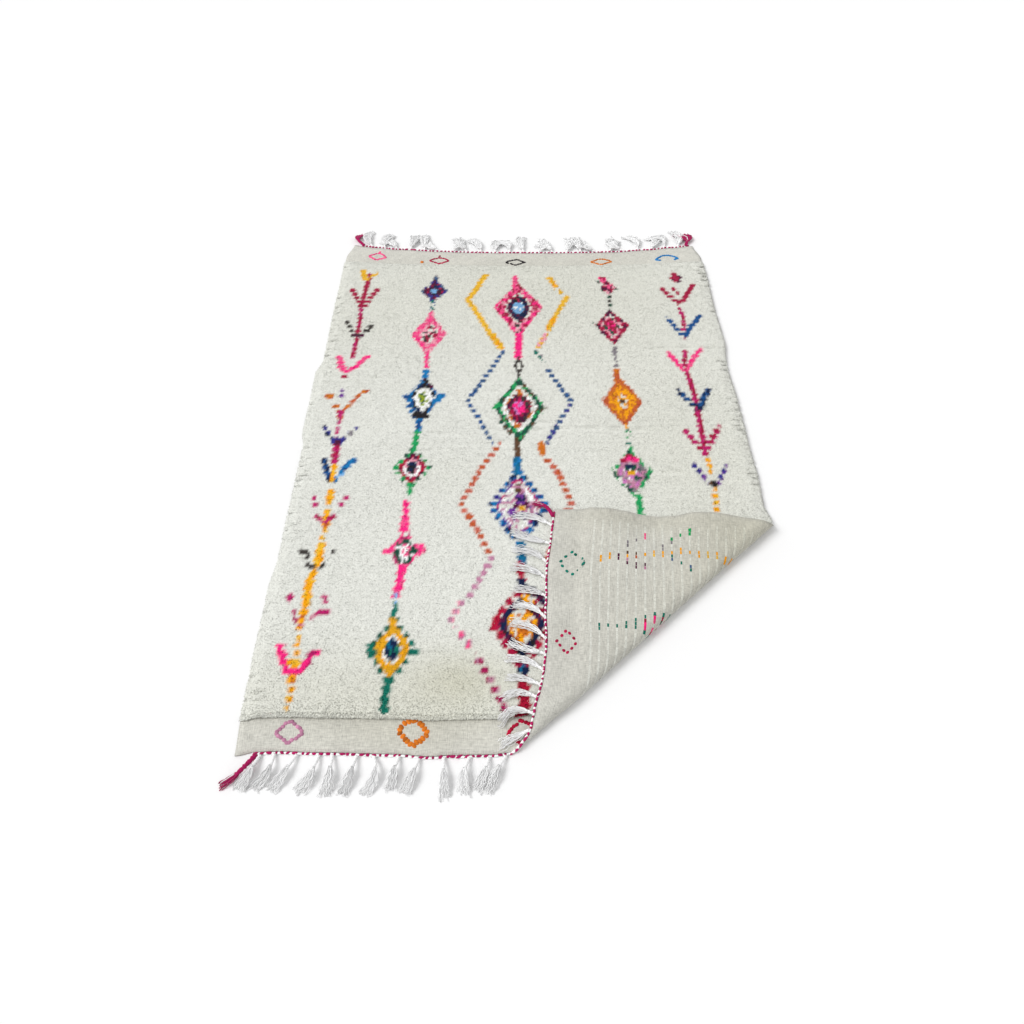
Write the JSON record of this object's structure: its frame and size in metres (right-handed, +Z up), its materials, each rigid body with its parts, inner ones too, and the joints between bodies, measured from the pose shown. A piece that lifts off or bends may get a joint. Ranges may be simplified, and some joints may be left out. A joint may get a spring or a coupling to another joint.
{
  "type": "knotted wool rug, one corner folded over",
  "caption": "Knotted wool pile rug with flat-woven ends, twined edging and warp tassels, lying flat with one corner folded back.",
  "frame": {"origin": "middle of the unfolded rug's rectangle, on the floor that it lies on", "axes": "+X across the rug to the side of the folded corner, +Y along the rug away from the folded corner, +Z up"},
  "size_m": [1.5459, 2.4372, 0.069],
  "materials": {
    "wool_pile": "hand-knotted sheep's wool pile, matt and nubby, off-white with bright dyed motifs",
    "warp_yarn": "white warp yarn twisted into tassels, with a magenta and white twined cord"
  },
  "bodies": {
    "root": {"rug": "wool_pile", "fringe_near": "warp_yarn", "fringe_flap": "warp_yarn", "fringe_far": "warp_yarn"}
  },
  "joints": []
}
